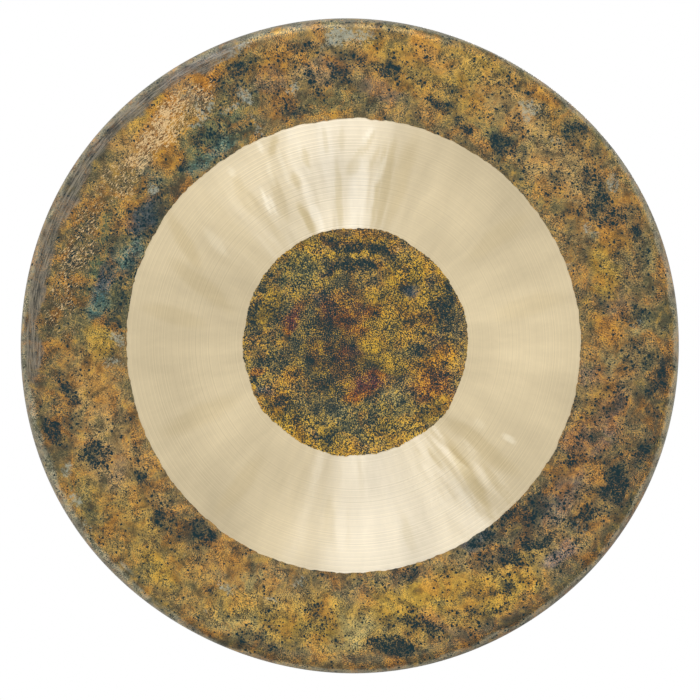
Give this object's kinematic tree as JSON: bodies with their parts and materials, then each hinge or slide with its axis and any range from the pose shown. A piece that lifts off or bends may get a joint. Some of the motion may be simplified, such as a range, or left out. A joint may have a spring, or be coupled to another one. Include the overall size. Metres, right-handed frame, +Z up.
{
  "type": "chau gong",
  "caption": "Round hammered bronze gong with a slightly domed face, a bright lathed ring between dark patinated zones, and a turned-back rim drilled for a hanging cord.",
  "frame": {"origin": "on the gong's axis, at half its depth, with the gong hanging upright", "axes": "-Y out of the face towards the player, +Z up towards the cord holes, +X to the right as the face is looked at"},
  "size_m": [0.6616, 0.056, 0.6584],
  "materials": {
    "patinated_bronze": "satin"
  },
  "bodies": {
    "root": {"gong_plate": "patinated_bronze"}
  },
  "joints": []
}
